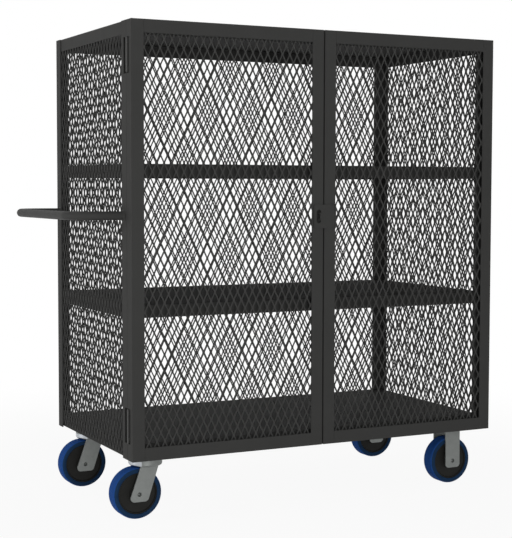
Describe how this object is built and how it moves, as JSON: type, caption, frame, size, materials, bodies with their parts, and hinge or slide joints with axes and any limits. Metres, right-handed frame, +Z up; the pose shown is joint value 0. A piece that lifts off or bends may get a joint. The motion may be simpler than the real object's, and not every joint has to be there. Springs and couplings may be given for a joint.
{
  "type": "mesh security cart",
  "caption": "Steel security cart with expanded metal sides and back, two framed mesh doors with a padlock hasp, shelves, a tube push handle and blue-treaded casters.",
  "frame": {"origin": "on the floor, under the middle of the overall box of the closed cart with its handle and staple", "axes": "+Z up, +X from the push handle end to the other end, -Y towards the doors"},
  "size_m": [1.4104, 0.6856, 1.447],
  "materials": {
    "powder_coat": "satin charcoal powder coat on steel",
    "bright_zinc": "bright zinc plate",
    "grey_zinc": "dull zinc plate",
    "blue_polyurethane": "satin moulded polyurethane",
    "black_moulding": "matte moulded core"
  },
  "bodies": {
    "cart_frame": {"base_deck": "powder_coat", "lower_shelf": "powder_coat", "upper_shelf": "powder_coat", "top_panel": "powder_coat", "front_left_post": "powder_coat", "front_right_post": "powder_coat", "rear_left_post": "powder_coat", "rear_right_post": "powder_coat", "left_side_mesh": "powder_coat", "right_side_mesh": "powder_coat", "rear_mesh": "powder_coat", "push_handle": "powder_coat", "left_lower_hinge_frame_leaf": "powder_coat", "left_lower_hinge_pin": "powder_coat", "left_upper_hinge_frame_leaf": "powder_coat", "left_upper_hinge_pin": "powder_coat", "right_lower_hinge_frame_leaf": "powder_coat", "right_lower_hinge_pin": "powder_coat", "right_upper_hinge_frame_leaf": "powder_coat", "right_upper_hinge_pin": "powder_coat", "front_left_swivel_plate": "bright_zinc", "rear_left_swivel_plate": "bright_zinc", "front_right_rigid_fork": "grey_zinc", "front_right_axle": "grey_zinc", "rear_right_rigid_fork": "grey_zinc", "rear_right_axle": "grey_zinc"},
    "left_door": {"left_hinge_stile": "powder_coat", "left_lock_stile": "powder_coat", "left_top_rail": "powder_coat", "left_bottom_rail": "powder_coat", "left_door_mesh": "powder_coat", "left_lower_hinge_door_leaf": "powder_coat", "left_upper_hinge_door_leaf": "powder_coat", "padlock_staple": "powder_coat"},
    "right_door": {"right_hinge_stile": "powder_coat", "right_lock_stile": "powder_coat", "right_top_rail": "powder_coat", "right_bottom_rail": "powder_coat", "right_door_mesh": "powder_coat", "right_lower_hinge_door_leaf": "powder_coat", "right_upper_hinge_door_leaf": "powder_coat", "hasp_base_leaf": "powder_coat", "hasp_pin": "powder_coat"},
    "hasp": {"hasp_leaf": "powder_coat"},
    "front_left_caster": {"front_left_swivel_fork": "grey_zinc", "front_left_axle": "grey_zinc"},
    "front_left_wheel": {"front_left_wheel_core": "black_moulding", "front_left_tread": "blue_polyurethane", "front_left_wheel_bearing": "bright_zinc"},
    "rear_left_caster": {"rear_left_swivel_fork": "grey_zinc", "rear_left_axle": "grey_zinc"},
    "rear_left_wheel": {"rear_left_wheel_core": "black_moulding", "rear_left_tread": "blue_polyurethane", "rear_left_wheel_bearing": "bright_zinc"},
    "front_right_wheel": {"front_right_wheel_core": "black_moulding", "front_right_tread": "blue_polyurethane", "front_right_wheel_bearing": "bright_zinc"},
    "rear_right_wheel": {"rear_right_wheel_core": "black_moulding", "rear_right_tread": "blue_polyurethane", "rear_right_wheel_bearing": "bright_zinc"}
  },
  "joints": [
    {"name": "left_door_hinge", "type": "hinge", "parent": "cart_frame", "child": "left_door", "pos_m": [-0.54445, -0.29375, 0.8185], "axis": [0, 0, -1], "range_deg": [0, 135]},
    {"name": "right_door_hinge", "type": "hinge", "parent": "cart_frame", "child": "right_door", "pos_m": [0.70255, -0.29375, 0.8185], "axis": [0, 0, 1], "range_deg": [0, 180]},
    {"name": "hasp_hinge", "type": "hinge", "parent": "right_door", "child": "hasp", "pos_m": [0.11605, -0.32765, 0.8875], "axis": [0, 0, 1], "range_deg": [0, 175]},
    {"name": "front_left_swivel", "type": "hinge", "parent": "cart_frame", "child": "front_left_caster", "pos_m": [-0.45745, -0.20865, 0.175], "axis": [0, 0, 1], "continuous": true},
    {"name": "front_left_wheel_spin", "type": "hinge", "parent": "front_left_caster", "child": "front_left_wheel", "pos_m": [-0.49045, -0.20865, 0.076], "axis": [0, 1, 0], "continuous": true},
    {"name": "rear_left_swivel", "type": "hinge", "parent": "cart_frame", "child": "rear_left_caster", "pos_m": [-0.45745, 0.26675, 0.175], "axis": [0, 0, 1], "continuous": true},
    {"name": "rear_left_wheel_spin", "type": "hinge", "parent": "rear_left_caster", "child": "rear_left_wheel", "pos_m": [-0.49045, 0.26675, 0.076], "axis": [0, 1, 0], "continuous": true},
    {"name": "front_right_wheel_spin", "type": "hinge", "parent": "cart_frame", "child": "front_right_wheel", "pos_m": [0.61555, -0.20865, 0.076], "axis": [0, 1, 0], "continuous": true},
    {"name": "rear_right_wheel_spin", "type": "hinge", "parent": "cart_frame", "child": "rear_right_wheel", "pos_m": [0.61555, 0.26675, 0.076], "axis": [0, 1, 0], "continuous": true}
  ]
}
